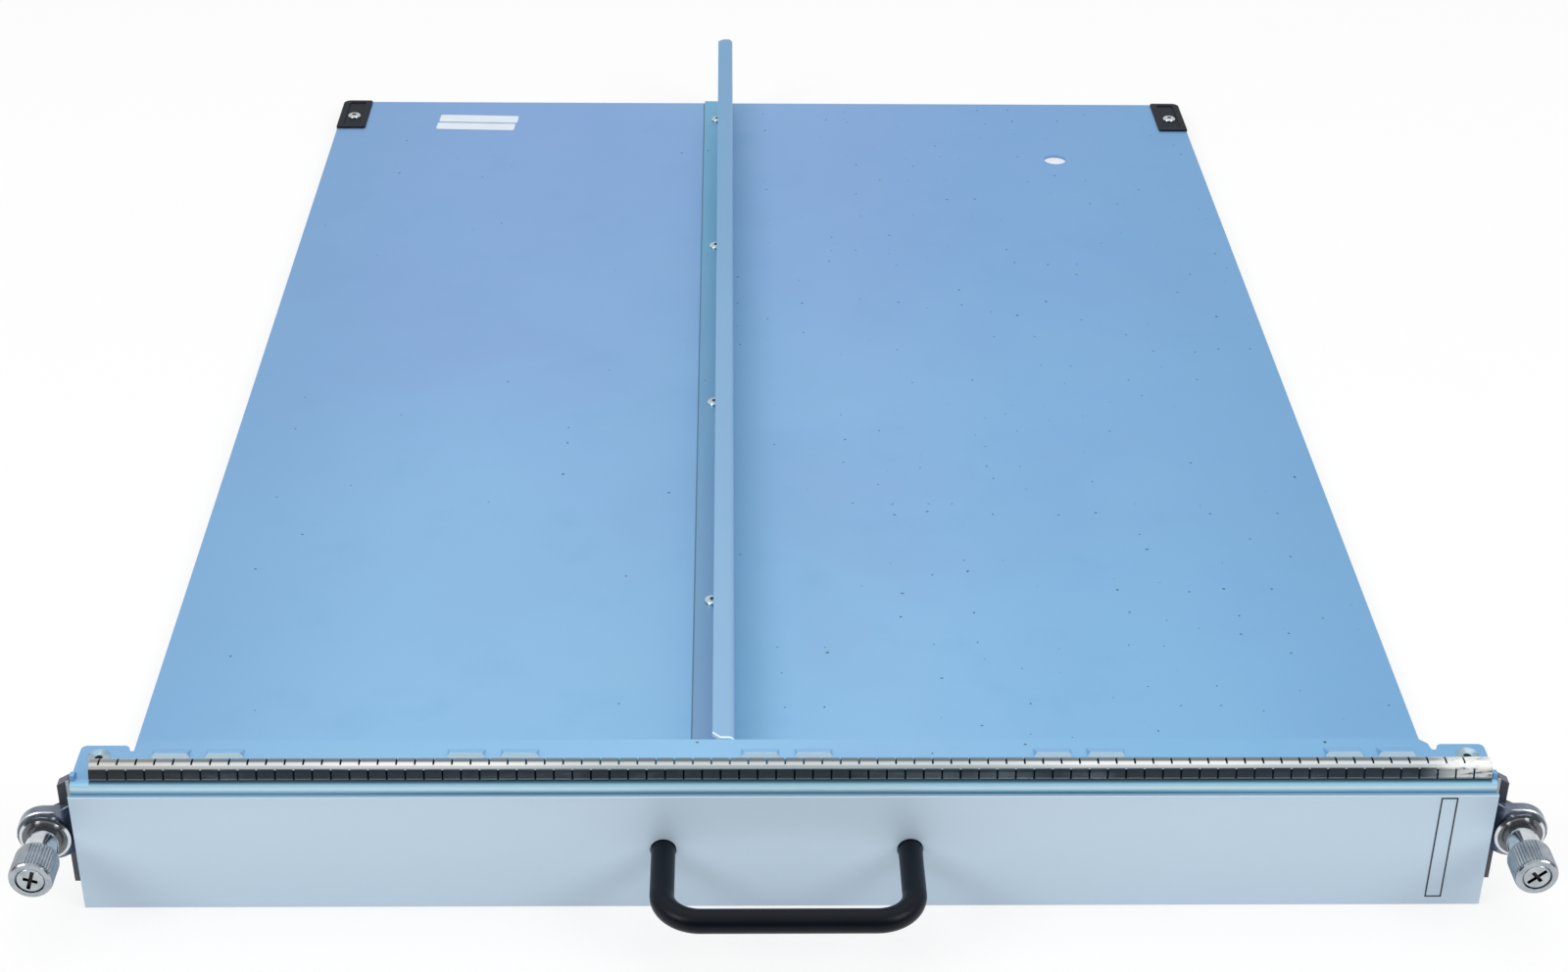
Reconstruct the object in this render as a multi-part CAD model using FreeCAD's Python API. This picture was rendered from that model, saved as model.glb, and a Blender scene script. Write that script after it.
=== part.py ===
import FreeCAD, Part
import math
import os

from FreeCAD import Vector

# A line card slot filler: a folded steel tray with a front panel, a bow handle, a spring
# finger gasket, an air baffle and a captive thumbscrew on an ear at each end.
# Lengths are in millimetres. X runs along the panel, Y from the panel's front face towards
# the rear of the tray, and Z up from the surface that the filler lies on.

# Front panel
panel_width = 370.0
panel_height = 36.4
panel_thick = 1.2
panel_edge = 0.35           # rounding of the front edges
panel_overhang = 0.6        # how far the panel stands past each end of the tray

# Carrier tray
tray_rear = 543.0           # from the panel's front face to the tray's rear edge
tray_thick = 1.2
tray_lift = 1.85            # underside of the base above the surface
tray_bend = 0.9             # inside radius of the folds
fold_land = 0.5             # flat kept between the top fold and the flange's outline
flange_rise = 3.6           # top of the flange above the panel's top edge
flange_rear = 20.0          # from the panel's front face to the flange's rear edge
flange_chamfer = 2.2
tab_width = 12.4            # end tab of the flange
tab_shorter = 2.4           # the tab stops this far before the flange's rear edge
tab_corner = 1.6
notch_width = 2.2
notch_depth = 2.4           # below the tab's rear edge
notch_lean = 0.4            # how far the notch's sides lean in
notch_round = 0.6
lip_front = 2.5             # upturned stop at each end of the flange
lip_long = 2.7
lip_high = 1.5
lip_round = 1.2
lip_root = 0.3              # how deep the stop reaches into the fold
hole_dia = 9.3              # single round hole near the rear
hole_x = 123.6
hole_from_rear = 60.3

# Raised lances behind the gasket, in pairs
lance_pairs = 5
lance_margin = 16.3         # from the flange's end notch to the last pair's centre
lance_pitch = 14.0          # between the two of a pair
lance_width = 9.9
lance_high = 1.3
lance_slope = 0.7           # how far the sides lean in
lance_rear_slope = 3.2
lance_front_slope = 0.35
lance_crown = 0.5
lance_slit = 0.35           # cut that frees the lance in front
lance_behind = 2.3          # from the gasket's rear edge to the lance

# Finger gasket
finger_pitch = 4.77         # about three sixteenths of an inch
finger_slot = 0.5
gasket_thick = 0.2
gasket_front = 2.4          # front edge, from the panel's front face
gasket_width = 7.2
gasket_high = 3.9
gasket_tip = 0.15           # edges above the flange
gasket_front_lean = 0.9     # how far the front face leans back
gasket_rear_lean = 2.0
gasket_front_round = 2.4
gasket_rear_round = 3.0
front_slot_long = 0.9       # front slots, measured level from the front edge
gasket_tie = 0.9            # unslotted band between the front and rear slots
gasket_end_gap = 0.2        # to the right end stop

# Pull handle and its screws
handle_dia = 6.35
handle_span = 64.6          # between the leg axes
handle_reach = 28.5         # from the panel's front face to the bar's axis
handle_bend = 10.0          # bend radius of the axis
handle_drop = 17.3          # below the panel's top edge
handle_hole_gap = 0.3       # round each leg in the panel
handle_screw_dia = 4.0
handle_screw_head = 7.6
handle_screw_high = 2.6
handle_screw_round = 1.2
handle_screw_deep = 10.0    # thread length inside the leg
handle_bore_deep = 12.5     # tapped hole up each leg

# Air baffle
baffle_x = -13.5            # right face of the upright web
baffle_high = 30.0
baffle_thick = 1.0
baffle_foot = 12.1
baffle_return = 6.1
baffle_bend = 0.8
baffle_chamfer = 2.2
baffle_behind = 10.0        # from the flange's rear edge to the baffle
baffle_rivets = 4
rivet_front_margin = 110.5
rivet_rear_margin = 21.5

# Rivets
rivet_dia = 3.2
rivet_head = 5.6
rivet_dome = 1.1
rivet_round = 1.0           # rounding of the dome and of the tail
rivet_bore = 1.9            # hollow left by the pulled stem
rivet_tail = 4.4
rivet_tail_high = 0.9
rivet_gap = 0.05
flush_head = 6.2
flush_deep = 1.0
flush_dish = 0.5            # how far the flush head is hollowed

# Rear corner guides
guide_wide = 12.0           # over the sheet
guide_long = 29.5
guide_top = 0.7             # wall over the sheet
guide_well = 0.3            # shallow well in the top, round the rivet
guide_border = 2.4          # rim left round the well
guide_rivet_in = 17.6       # rivet axis before the sheet's rear edge
guide_wall = 0.4            # outside the sheet's side edge
guide_rear = 0.2            # behind the sheet's rear edge
guide_corner = 3.0
guide_inner_corner = 1.0
guide_edge = 0.25

# Ear brackets
bracket_thick = 3.0
bracket_bend = 1.2
bracket_front = 4.0         # front face of the plate behind the web
bracket_gap = 0.2           # kept between the lugs and the tray's end
wing_reach = 4.0            # plate past the tray's end, above the ear
tail_reach = 3.2            # the same below the ear
wing_low = 5.9              # lower end of the plate above the surface
wing_chamfer_wide = 2.6     # slanted upper corner of the plate
wing_chamfer_high = 1.5
ear_front = 0.8             # front face of the ear behind the panel's front face
ear_radius = 7.6
ear_edge = 0.25             # bevel round the ear's front face
joggle_start = 0.5          # past the panel's end: where the ear starts to step forward
joggle_long = 3.5
joggle_round = 1.5          # inside radius of the two bends of the step
lug_rear = 16.6
lug_inset = 10.4            # reach of the top lug and the foot from the tray's end
lug_rivet_in = 5.2          # rivet axis from the tray's end
lug_rivet_y = 13.0

# Captive thumbscrews
screw_out = 7.2             # axis past the panel's end
screw_drop = 12.9           # axis below the panel's top edge
screw_travel = 5.5
ring_dia = 13.3
ring_thick = 1.4
ring_dish = 0.5
ring_rim = 0.7
barrel_dia = 8.6
barrel_bore = 6.6
barrel_wall = 1.2           # rear wall of the barrel
spigot_dia = 9.2
knob_dia = 11.4
knob_long = 9.0
knob_rim = 0.7              # smooth rim at each end of the knurl
knob_rim_step = 0.25
knob_chamfer = 0.3
knob_teeth = 44
knurl_deep = 0.35
knob_gap = 0.2              # round the barrel
knob_seat = 1.3             # recess for the screw head
knob_wall = 0.9
barrel_show = 7.9           # barrel left bare between the ring and the knob
head_dia = 7.3
head_gap = 0.2
head_under = 0.2            # head below the knob's face
recess_wide = 1.0
recess_deep = 0.7
recess_slot = 5.8
recess_cross = 3.8
left_recess_turn = -72.0    # how the recess stands, in degrees
right_recess_turn = -42.0
shank_dia = 3.6
shank_gap = 0.05
wall_hole_gap = 0.3
thread_dia = 4.8
thread_long = 5.2
thread_tip = 0.6
thread_gap = 0.2            # between the thread's shoulder and the barrel's rear wall
spring_wire = 0.7
spring_turns = 5
spring_flats = 6            # the thin wire is drawn with flats
spring_gap = 0.2

# Levels and edges worked out from the sizes above
tray_half = panel_width / 2 - panel_overhang
base_top = tray_lift + tray_thick
web_front = panel_thick
web_rear = web_front + tray_thick
flange_top = panel_height + flange_rise
flange_under = flange_top - tray_thick
flange_flat = web_rear + tray_bend + fold_land
tab_rear = flange_rear - tab_shorter
tab_inner = tray_half - tab_width
main_half = tab_inner - notch_width
gasket_rear = gasket_front + gasket_width
lip_inner = tray_half - tray_thick
gasket_right = lip_inner - gasket_end_gap
finger_count = int((gasket_right + lip_inner) / finger_pitch)
gasket_left = gasket_right - finger_count * finger_pitch
baffle_front = flange_rear + baffle_behind
rivet_x = baffle_x - baffle_thick - (baffle_foot - baffle_thick) / 2
rivet_pitch = (tray_rear - baffle_front - rivet_front_margin - rivet_rear_margin) / (baffle_rivets - 1)
rivet_rows = [baffle_front + rivet_front_margin + i * rivet_pitch for i in range(baffle_rivets)]
guide_rivet_x = tray_half - guide_wide / 2
guide_rivet_y = tray_rear - guide_rivet_in
guide_seat = base_top + guide_top - guide_well
handle_z = panel_height - handle_drop
handle_legs = (-handle_span / 2, handle_span / 2)
bracket_rear = bracket_front + bracket_thick
lug_out = tray_half - bracket_gap
wing_out = tray_half + wing_reach
tail_out = tray_half + tail_reach
joggle_near = panel_width / 2 + joggle_start
joggle_far = joggle_near + joggle_long
ear_rear = ear_front + bracket_thick
lug_rivet_x = tray_half - lug_rivet_in
screw_x = panel_width / 2 + screw_out
screw_z = panel_height - screw_drop
ring_front = ear_front - ring_thick
knob_rear = ring_front - barrel_show
knob_front = knob_rear - knob_long
seat_floor = knob_front + knob_seat
cavity_front = seat_floor + knob_wall
barrel_front = cavity_front + screw_travel + knob_gap
barrel_floor = ear_rear - barrel_wall
thread_start = ear_rear + thread_gap
origin_y = (tray_rear + guide_rear - handle_reach - handle_dia / 2) / 2


def rounded(corners, closed=True):
    """Flat wire through (point, radius) corners, each corner rounded by a tangent arc."""
    count = len(corners)
    starts = []
    ends = []
    edges = []
    for i, (point, radius) in enumerate(corners):
        if radius == 0:
            starts.append(point)
            ends.append(point)
            continue
        before = (corners[i - 1][0] - point).normalize()
        after = (corners[(i + 1) % count][0] - point).normalize()
        half_angle = before.getAngle(after) / 2
        reach = radius / math.tan(half_angle)
        middle = (before + after).normalize() * (radius / math.sin(half_angle) - radius)
        starts.append(point + before * reach)
        ends.append(point + after * reach)
        edges.append(Part.Arc(starts[-1], point + middle, ends[-1]).toShape())
    for i in range(count if closed else count - 1):
        following = starts[(i + 1) % count]
        if (following - ends[i]).Length > 1e-6:
            edges.append(Part.makeLine(ends[i], following))
    return Part.Wire(Part.__sortEdges__(edges))


def prism(corners, direction):
    """Solid swept from a rounded outline along a direction."""
    return Part.Face(rounded(corners)).extrude(direction)


def plan(points, low, high):
    """Plate between two levels with an outline of (x, y, radius) corners."""
    corners = [(Vector(x, y, low), radius) for x, y, radius in points]
    return prism(corners, Vector(0, 0, high - low))


def side_section(points, left, right):
    """Bar along X with a section of (y, z, radius) corners."""
    corners = [(Vector(left, y, z), radius) for y, z, radius in points]
    return prism(corners, Vector(right - left, 0, 0))


def front_section(points, front, rear):
    """Bar along Y with a section of (x, z, radius) corners."""
    corners = [(Vector(x, front, z), radius) for x, z, radius in points]
    return prism(corners, Vector(0, rear - front, 0))


def turned(points, axis):
    """Turned solid from (radius, distance along the axis, corner radius) corners."""
    side = Vector(1, 0, 0)
    corners = [(side * radius + axis * along, *(corner or [0])) for radius, along, *corner in points]
    return Part.Face(rounded(corners)).revolve(Vector(0, 0, 0), axis, 360)


def rod(x, y, low, high, diameter):
    """Upright cylinder between two levels."""
    return Part.makeCylinder(diameter / 2, high - low, Vector(x, y, low))


def rod_y(x, z, front, rear, diameter):
    """Cylinder along Y."""
    return Part.makeCylinder(diameter / 2, rear - front, Vector(x, front, z), Vector(0, 1, 0))


def moved(shape, x, y, z):
    """Copy of a shape at another place."""
    copy = shape.copy()
    copy.translate(Vector(x, y, z))
    return copy


def mirrored(shape):
    """Copy of a right-hand piece for the left end."""
    return shape.mirror(Vector(0, 0, 0), Vector(1, 0, 0))


def frustum(low_box, high_box, low, high):
    """Solid between two level rectangles, each (x0, y0, x1, y1)."""
    wires = []
    for (x0, y0, x1, y1), z in ((low_box, low), (high_box, high)):
        points = [Vector(x0, y0, z), Vector(x1, y0, z), Vector(x1, y1, z), Vector(x0, y1, z)]
        wires.append(Part.makePolygon(points + points[:1]))
    return Part.makeLoft(wires, True, True)


def lance_centres():
    """X of each raised lance along the flange."""
    pair_pitch = 2 * (main_half - lance_margin) / (lance_pairs - 1)
    for pair in range(lance_pairs):
        centre = -main_half + lance_margin + pair * pair_pitch
        yield centre - lance_pitch / 2
        yield centre + lance_pitch / 2


def lance(x):
    """Raised lance: a ramp behind, leaning sides and a steep front where the sheet is cut."""
    front = gasket_rear + lance_behind
    crown_front = front + lance_front_slope
    crown_rear = crown_front + lance_crown
    rear = crown_rear + lance_rear_slope
    half = lance_width / 2
    crown_half = half - lance_slope
    base = (x - half, front, x + half, rear)
    crown = (x - crown_half, crown_front, x + crown_half, crown_rear)
    return frustum(base, crown, flange_top, flange_top + lance_high)


def flange_plate():
    """Flat part of the top flange with its chamfers, notches and end tabs."""
    right = [
        (main_half - flange_chamfer, flange_rear, 0),
        (main_half, flange_rear - flange_chamfer, 0),
        (main_half + notch_lean, tab_rear - notch_depth, notch_round),
        (tab_inner - notch_lean, tab_rear - notch_depth, notch_round),
        (tab_inner, tab_rear, tab_corner),
        (tray_half, tab_rear, tab_corner),
        (tray_half, flange_flat, 0),
    ]
    left = [(-x, y, radius) for x, y, radius in reversed(right)]
    return plan(right + left, flange_under, flange_top)


def end_lip():
    """Upturned stop at the right end of the flange, which keeps the gasket in place."""
    rear = lip_front + lip_long
    root = flange_top - lip_root
    top = flange_top + lip_high
    section = [(lip_front, root, 0), (rear, root, 0), (rear, top, lip_round), (lip_front, top, 0)]
    return side_section(section, lip_inner, tray_half)


def tray_fold():
    """Base, front web and the start of the flange, folded from one sheet."""
    outer = tray_bend + tray_thick
    section = [
        (tray_rear, tray_lift, 0),
        (web_front, tray_lift, outer),
        (web_front, flange_top, outer),
        (flange_flat, flange_top, 0),
        (flange_flat, flange_under, 0),
        (web_rear, flange_under, tray_bend),
        (web_rear, base_top, tray_bend),
        (tray_rear, base_top, 0),
    ]
    return side_section(section, -tray_half, tray_half)


def flush_sink(x):
    """Countersunk hole for a flush rivet in a flange tab."""
    cone = Part.makeCone(rivet_dia / 2, flush_head / 2, flush_deep,
                         Vector(x, lug_rivet_y, flange_top - flush_deep))
    return cone.fuse(rod(x, lug_rivet_y, flange_under, flange_top, rivet_dia + 2 * rivet_gap))


def tray_holes():
    """Everything cut out of the tray: rivet holes, handle holes and the round hole."""
    clear = rivet_dia + 2 * rivet_gap
    cuts = [rod(hole_x, tray_rear - hole_from_rear, tray_lift, base_top, hole_dia)]
    cuts += [rod(rivet_x, y, tray_lift, base_top, clear) for y in rivet_rows]
    screw_hole = handle_screw_dia + 2 * handle_hole_gap
    cuts += [rod_y(x, handle_z, web_front, web_rear, screw_hole) for x in handle_legs]
    for sign in (-1, 1):
        cuts.append(rod(sign * guide_rivet_x, guide_rivet_y, tray_lift, base_top, clear))
        cuts.append(rod(sign * lug_rivet_x, lug_rivet_y, tray_lift, base_top, clear))
        cuts.append(flush_sink(sign * lug_rivet_x))
    return cuts


def carrier_tray():
    """The folded tray: one sheet from its rear edge to the top flange."""
    lip = end_lip()
    lances = [lance(x) for x in lance_centres()]
    body = tray_fold().fuse([flange_plate(), lip, mirrored(lip)] + lances)
    hollows = [moved(solid, 0, -lance_slit, -tray_thick) for solid in lances]
    return body.cut(hollows + tray_holes()).removeSplitter()


def front_panel():
    """Flat silver panel with rounded front edges and a hole for each handle leg."""
    half = panel_width / 2
    plate = Part.makeBox(panel_width, panel_thick, panel_height, Vector(-half, 0, 0))
    rim = [edge for edge in plate.Edges if edge.BoundBox.YMax < panel_thick / 2]
    plate = plate.makeFillet(panel_edge, rim)
    leg_hole = handle_dia + 2 * handle_hole_gap
    return plate.cut([rod_y(x, handle_z, 0, panel_thick, leg_hole) for x in handle_legs])


def gasket_arch():
    """Section of the gasket: a thin arch that is steep in front and slopes away behind."""
    left = Vector(gasket_left, 0, flange_top)
    path = [
        (left + Vector(0, gasket_front, gasket_tip), 0),
        (left + Vector(0, gasket_front + gasket_front_lean, gasket_high), gasket_front_round),
        (left + Vector(0, gasket_rear - gasket_rear_lean, gasket_high), gasket_rear_round),
        (left + Vector(0, gasket_rear, gasket_tip), 0),
    ]
    return rounded(path, closed=False).makeOffset2D(gasket_thick, 0, True, True)


def slot_row(first, count, front, rear):
    """Row of slots through the gasket, one finger pitch apart."""
    slot = Part.makeBox(finger_slot, rear - front, gasket_high + gasket_thick)
    corner = first - finger_slot / 2
    return [moved(slot, corner + i * finger_pitch, front, flange_top) for i in range(count)]


def finger_gasket():
    """Arched strip of spring fingers, slotted in turn from its rear and front edges."""
    long = finger_count * finger_pitch
    strip = gasket_arch().extrude(Vector(long, 0, 0))
    front_end = gasket_front + front_slot_long
    rear_start = front_end + gasket_tie
    slots = slot_row(gasket_left + finger_pitch / 2, finger_count - 1, rear_start, gasket_rear)
    slots += slot_row(gasket_left + finger_pitch, finger_count - 1, gasket_front, front_end)
    return strip.cut(slots)


def pull_handle():
    """Round bar bent to a bow, with a tapped hole up each leg."""
    left, right = handle_legs
    path = [
        (Vector(left, web_front, handle_z), 0),
        (Vector(left, -handle_reach, handle_z), handle_bend),
        (Vector(right, -handle_reach, handle_z), handle_bend),
        (Vector(right, web_front, handle_z), 0),
    ]
    ring = Part.makeCircle(handle_dia / 2, Vector(left, web_front, handle_z), Vector(0, 1, 0))
    bow = rounded(path, closed=False).makePipeShell([Part.Wire(ring)], True, True)
    bore = handle_screw_dia + 2 * rivet_gap
    return bow.cut([rod_y(x, handle_z, web_front - handle_bore_deep, web_front, bore) for x in handle_legs])


def handle_screws():
    """Two screws from behind the web into the handle's legs."""
    profile = [
        (0, web_front - handle_screw_deep),
        (handle_screw_dia / 2, web_front - handle_screw_deep),
        (handle_screw_dia / 2, web_rear),
        (handle_screw_head / 2, web_rear),
        (handle_screw_head / 2, web_rear + handle_screw_high, handle_screw_round),
        (0, web_rear + handle_screw_high),
    ]
    screw = turned(profile, Vector(0, 1, 0))
    return Part.makeCompound([moved(screw, x, 0, handle_z) for x in handle_legs])


def air_baffle():
    """Folded strip: a foot on the base, an upright web and a narrow return flange."""
    left = baffle_x - baffle_foot
    inner = baffle_x - baffle_thick
    top = base_top + baffle_high
    under = top - baffle_thick
    foot = base_top + baffle_thick
    outer = baffle_bend + baffle_thick
    free = baffle_x - baffle_return
    section = [
        (left, base_top, 0),
        (baffle_x, base_top, outer),
        (baffle_x, top, outer),
        (free, top, 0),
        (free, under, 0),
        (inner, under, baffle_bend),
        (inner, foot, baffle_bend),
        (left, foot, 0),
    ]
    strip = front_section(section, baffle_front, tray_rear)
    cuts = [rod(rivet_x, y, base_top, foot, rivet_dia + 2 * rivet_gap) for y in rivet_rows]
    for end, inward in ((baffle_front, 1), (tray_rear, -1)):
        corner = [(free, end, 0), (free + baffle_chamfer, end, 0), (free, end + inward * baffle_chamfer, 0)]
        cuts.append(plan(corner, under, top))
    return strip.cut(cuts)


def rivet_stem(grip):
    """Corners of a rivet below its head: the shank, the tail and the hollow."""
    return [
        (rivet_dia / 2, -grip),
        (rivet_tail / 2, -grip),
        (rivet_tail / 2, -grip - rivet_tail_high, rivet_round / 2),
        (0, -grip - rivet_tail_high),
        (0, -grip / 2),
        (rivet_bore / 2, -grip / 2),
    ]


def blind_rivet(grip):
    """Blind rivet with a domed, hollow head on level 0 and its tail under the grip."""
    head = [
        (rivet_bore / 2, rivet_dome),
        (rivet_head / 2, rivet_dome, rivet_round),
        (rivet_head / 2, 0),
        (rivet_dia / 2, 0),
    ]
    return turned(head + rivet_stem(grip), Vector(0, 0, 1))


def flush_rivet(grip):
    """Countersunk rivet with a dished head level with the flange."""
    head = [
        (rivet_bore / 2, -flush_dish),
        (flush_head / 2 - rivet_gap, 0),
        (rivet_dia / 2, -flush_deep),
    ]
    return turned(head + rivet_stem(grip), Vector(0, 0, 1))


def both_ends(shape, x, y, z):
    """A fastener at each end of the tray, as one group."""
    return Part.makeCompound([moved(shape, -x, y, z), moved(shape, x, y, z)])


def rivet_row():
    """The rivets that hold the baffle's foot to the base."""
    rivet = blind_rivet(tray_thick + baffle_thick)
    return Part.makeCompound([moved(rivet, rivet_x, y, base_top + baffle_thick) for y in rivet_rows])


def corner_guide():
    """Moulded guide that wraps the tray's right rear corner."""
    inner = tray_half - guide_wide
    outer = tray_half + guide_wall
    front = tray_rear - guide_long
    rear = tray_rear + guide_rear
    top = base_top + guide_top
    outline = [
        (inner, front, guide_inner_corner),
        (outer, front, guide_inner_corner),
        (outer, rear, guide_corner),
        (inner, rear, guide_inner_corner),
    ]
    block = plan(outline, 0, top)
    rim = [edge for edge in block.Edges if edge.BoundBox.ZMin > base_top]
    block = block.makeFillet(guide_edge, rim)
    mouth = Part.makeBox(guide_wide, guide_long, tray_thick, Vector(inner, front, tray_lift))
    border = [
        (inner + guide_border, front + guide_border, guide_inner_corner),
        (tray_half - guide_border, front + guide_border, guide_inner_corner),
        (tray_half - guide_border, tray_rear - guide_border, guide_inner_corner),
        (inner + guide_border, tray_rear - guide_border, guide_inner_corner),
    ]
    well = plan(border, guide_seat, top)
    shank = rod(guide_rivet_x, guide_rivet_y, 0, top, rivet_dia + 2 * rivet_gap)
    tail = rod(guide_rivet_x, guide_rivet_y, 0, tray_lift, rivet_tail + 2 * rivet_gap)
    return block.cut([mouth, well, shank, tail])


def bracket_channel():
    """Plate behind the web, with a lug under the flange and a foot on the base."""
    outer = bracket_bend + bracket_thick
    lug = flange_under - bracket_thick
    foot = base_top + bracket_thick
    section = [
        (lug_rear, base_top, 0),
        (bracket_front, base_top, outer),
        (bracket_front, flange_under, outer),
        (lug_rear, flange_under, 0),
        (lug_rear, lug, 0),
        (bracket_rear, lug, bracket_bend),
        (bracket_rear, foot, bracket_bend),
        (lug_rear, foot, 0),
    ]
    return side_section(section, tray_half - lug_inset, lug_out)


def bracket_wing():
    """The plate's edge that shows past the panel, above and below the ear."""
    outer = bracket_bend + bracket_thick
    near = lug_out - bracket_thick
    low = screw_z - ear_radius
    high = screw_z + ear_radius
    outline = [
        (near, base_top + outer, 0),
        (lug_out, wing_low, 0),
        (tail_out, wing_low, 0),
        (tail_out, low, 0),
        (joggle_near, low, 0),
        (joggle_near, high, 0),
        (wing_out, high, 0),
        (wing_out, flange_under - wing_chamfer_high, 0),
        (wing_out - wing_chamfer_wide, flange_under, 0),
        (lug_out, flange_under, 0),
        (near, flange_under - outer, 0),
    ]
    return front_section(outline, bracket_front, bracket_rear)


def front_rim(solid):
    """Edges round the front face of an ear, without the lines of its bends."""
    axis = Vector(screw_x, 0, screw_z)
    step = ear_edge / 4
    rim = []
    for edge in solid.Edges:
        middle = edge.valueAt((edge.FirstParameter + edge.LastParameter) / 2)
        inward = axis - middle
        inward.y = 0
        probe = middle + inward.normalize() * step + Vector(0, 2 * step, 0)
        upright = edge.BoundBox.XLength + edge.BoundBox.YLength < step
        if not upright and solid.isInside(probe, step / 10, False):
            rim.append(edge)
    return rim


def ear():
    """Round ear, stepped forward from the plate's plane to just behind the panel's front."""
    far = screw_x + ear_radius
    low = screw_z - ear_radius
    near = lug_out - bracket_thick
    lean = math.atan2(bracket_front - ear_front, joggle_long)
    shift = bracket_thick * math.tan(lean / 2)
    outer = joggle_round + bracket_thick
    step = [
        (near, bracket_front, 0),
        (joggle_near, bracket_front, joggle_round),
        (joggle_far, ear_front, outer),
        (far, ear_front, 0),
        (far, ear_rear, 0),
        (joggle_far + shift, ear_rear, joggle_round),
        (joggle_near + shift, bracket_rear, outer),
        (near, bracket_rear, 0),
    ]
    outline = [
        (near, low, 0),
        (far, low, ear_radius),
        (far, low + 2 * ear_radius, ear_radius),
        (near, low + 2 * ear_radius, 0),
    ]
    strip = plan(step, 0, flange_top).common(front_section(outline, 0, lug_rear))
    return strip.makeChamfer(ear_edge, front_rim(strip))


def ear_bracket():
    """Right bracket: a plate with a lug and a foot, whose ear carries the thumbscrew."""
    clear = rivet_dia + 2 * rivet_gap
    holes = [
        rod(lug_rivet_x, lug_rivet_y, base_top, flange_under, clear),
        rod_y(screw_x, screw_z, ear_front, bracket_rear, spigot_dia + 2 * rivet_gap),
    ]
    return bracket_channel().fuse([bracket_wing(), ear()]).cut(holes).removeSplitter()


def screw_retainer():
    """Turned retainer: a dished ring on the ear, a barrel in front and a spigot through the ear."""
    ring = ring_dia / 2
    wall_hole = shank_dia / 2 + wall_hole_gap
    profile = [
        (barrel_bore / 2, barrel_front),
        (barrel_dia / 2, barrel_front),
        (barrel_dia / 2, ring_front + ring_dish),
        (ring - ring_rim, ring_front),
        (ring, ring_front + ring_rim / 2),
        (ring, ear_front),
        (spigot_dia / 2, ear_front),
        (spigot_dia / 2, ear_rear),
        (wall_hole, ear_rear),
        (wall_hole, barrel_floor),
        (barrel_bore / 2, barrel_floor),
    ]
    return turned(profile, Vector(0, 1, 0))


def knurl():
    """Straight knurl between the knob's smooth rims."""
    tip = knob_dia / 2
    step = math.pi / knob_teeth
    front = knob_front + knob_rim
    points = []
    for i in range(2 * knob_teeth):
        radius = tip if i % 2 == 0 else tip - knurl_deep
        points.append(Vector(radius * math.cos(i * step), front, radius * math.sin(i * step)))
    face = Part.Face(Part.makePolygon(points + points[:1]))
    return face.extrude(Vector(0, knob_long - 2 * knob_rim, 0))


def screw_knob():
    """Knurled sleeve: its skirt slides over the barrel and its face holds the screw's head."""
    rim = knob_dia / 2 - knob_rim_step
    skirt = barrel_dia / 2 + knob_gap
    profile = [
        (0, knob_front),
        (rim - knob_chamfer, knob_front),
        (rim, knob_front + knob_chamfer),
        (rim, knob_rear - knob_chamfer / 2),
        (rim - knob_chamfer / 2, knob_rear),
        (0, knob_rear),
    ]
    hollow = [
        rod_y(0, 0, cavity_front, knob_rear, 2 * skirt),
        rod_y(0, 0, knob_front, seat_floor, head_dia + 2 * head_gap),
        rod_y(0, 0, seat_floor, cavity_front, shank_dia + 2 * shank_gap),
    ]
    return turned(profile, Vector(0, 1, 0)).fuse(knurl()).cut(hollow)


def captive_screw(turn):
    """Screw with a flat head, a plain shank and a larger thread that the retainer can't let go."""
    front = knob_front + head_under
    tip = thread_start + thread_long
    profile = [
        (0, front),
        (head_dia / 2, front),
        (head_dia / 2, seat_floor),
        (shank_dia / 2, seat_floor),
        (shank_dia / 2, thread_start),
        (thread_dia / 2, thread_start),
        (thread_dia / 2, tip - thread_tip),
        (thread_dia / 2 - thread_tip, tip),
        (0, tip),
    ]
    recess = []
    for long, angle in ((recess_slot, turn), (recess_cross, turn + 90)):
        bar = Part.makeBox(long, recess_deep, recess_wide, Vector(-long / 2, front, -recess_wide / 2))
        bar.rotate(Vector(0, 0, 0), Vector(0, 1, 0), angle)
        recess.append(bar)
    return turned(profile, Vector(0, 1, 0)).cut(recess)


def screw_spring():
    """Coil spring round the shank, between the barrel's rear wall and the knob."""
    wire = spring_wire / 2
    mean = (barrel_bore + shank_dia) / 4
    front = cavity_front + spring_gap + wire
    long = barrel_floor - spring_gap - wire - front
    helix = Part.makeHelix(long / spring_turns, long, mean)
    angles = [i * 2 * math.pi / spring_flats for i in range(spring_flats + 1)]
    section = Part.makePolygon([Vector(mean + wire * math.cos(a), 0, wire * math.sin(a)) for a in angles])
    coil = Part.Wire(helix).makePipeShell([section], True, True)
    coil.rotate(Vector(0, 0, 0), Vector(1, 0, 0), -90)
    return moved(coil, 0, front, 0)


def at_screw(shape, sign):
    """A turned piece of a thumbscrew on its axis at one end."""
    return moved(shape, sign * screw_x, 0, screw_z)


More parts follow.
